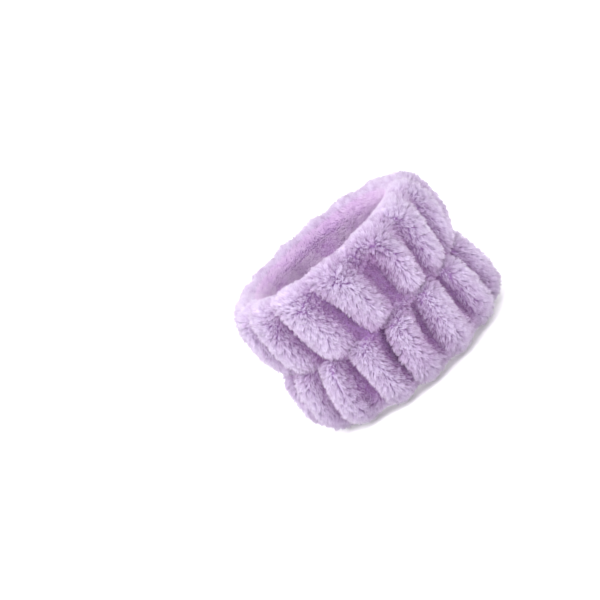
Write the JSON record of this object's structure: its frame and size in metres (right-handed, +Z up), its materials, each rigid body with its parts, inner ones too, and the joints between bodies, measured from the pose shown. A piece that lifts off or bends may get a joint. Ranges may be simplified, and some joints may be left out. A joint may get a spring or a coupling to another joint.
{
  "type": "plush spa wristband",
  "caption": "Plush fleece wristband of gathered puffs that an elastic waist parts into an upper and a lower row; worn at a wash to keep water out of sleeves.",
  "frame": {"origin": "centre of the circle that the lower edge stands on", "axes": "+Z up along the axis of the wrist opening, from the lower puff row to the upper one; +Y towards the closing seams and the elastics' laps at the back; the view in the picture looks at the -Y side"},
  "size_m": [0.09, 0.09, 0.06],
  "materials": {
    "outer_fleece": "long-pile coral fleece, lavender, matt with a soft sheen",
    "lining_fleece": "short-pile coral fleece, lavender",
    "elastic": "flat woven elastic tape, ribbed, off-white",
    "thread": "spun polyester sewing thread, lavender"
  },
  "bodies": {
    "root": {"outer_cover": "outer_fleece", "inner_lining": "lining_fleece", "bottom_elastic": "elastic", "waist_elastic": "elastic", "top_elastic": "elastic", "cover_closing_seam": "thread", "lining_closing_seam": "thread", "bottom_elastic_bartack": "thread", "waist_elastic_bartack": "thread", "top_elastic_bartack": "thread", "bottom_elastic_stitch": "thread", "waist_stitch_lower": "thread", "waist_stitch_upper": "thread", "top_elastic_stitch": "thread", "bottom_edge_seam": "thread", "top_edge_seam": "thread"}
  },
  "joints": []
}
